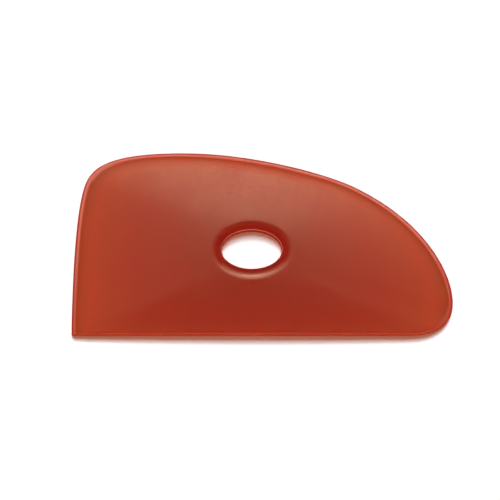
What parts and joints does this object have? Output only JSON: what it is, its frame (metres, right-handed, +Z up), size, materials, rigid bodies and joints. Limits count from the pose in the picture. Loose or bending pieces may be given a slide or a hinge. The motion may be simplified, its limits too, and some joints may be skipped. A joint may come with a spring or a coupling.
{
  "type": "pottery rib",
  "caption": "Soft translucent red pottery rib: a thin half-moon slab with a square end, bevelled edges, a crowned face and an oval finger hole with a rolled lip.",
  "frame": {"origin": "middle of the length and width of the rib, on its flat back face", "axes": "+X along the length towards the nose, +Y from the straight edge to the curved back, +Z up out of the crowned face"},
  "size_m": [0.146, 0.0718, 0.0064],
  "materials": {
    "urethane": "satin"
  },
  "bodies": {
    "root": {"rib": "urethane"}
  },
  "joints": []
}
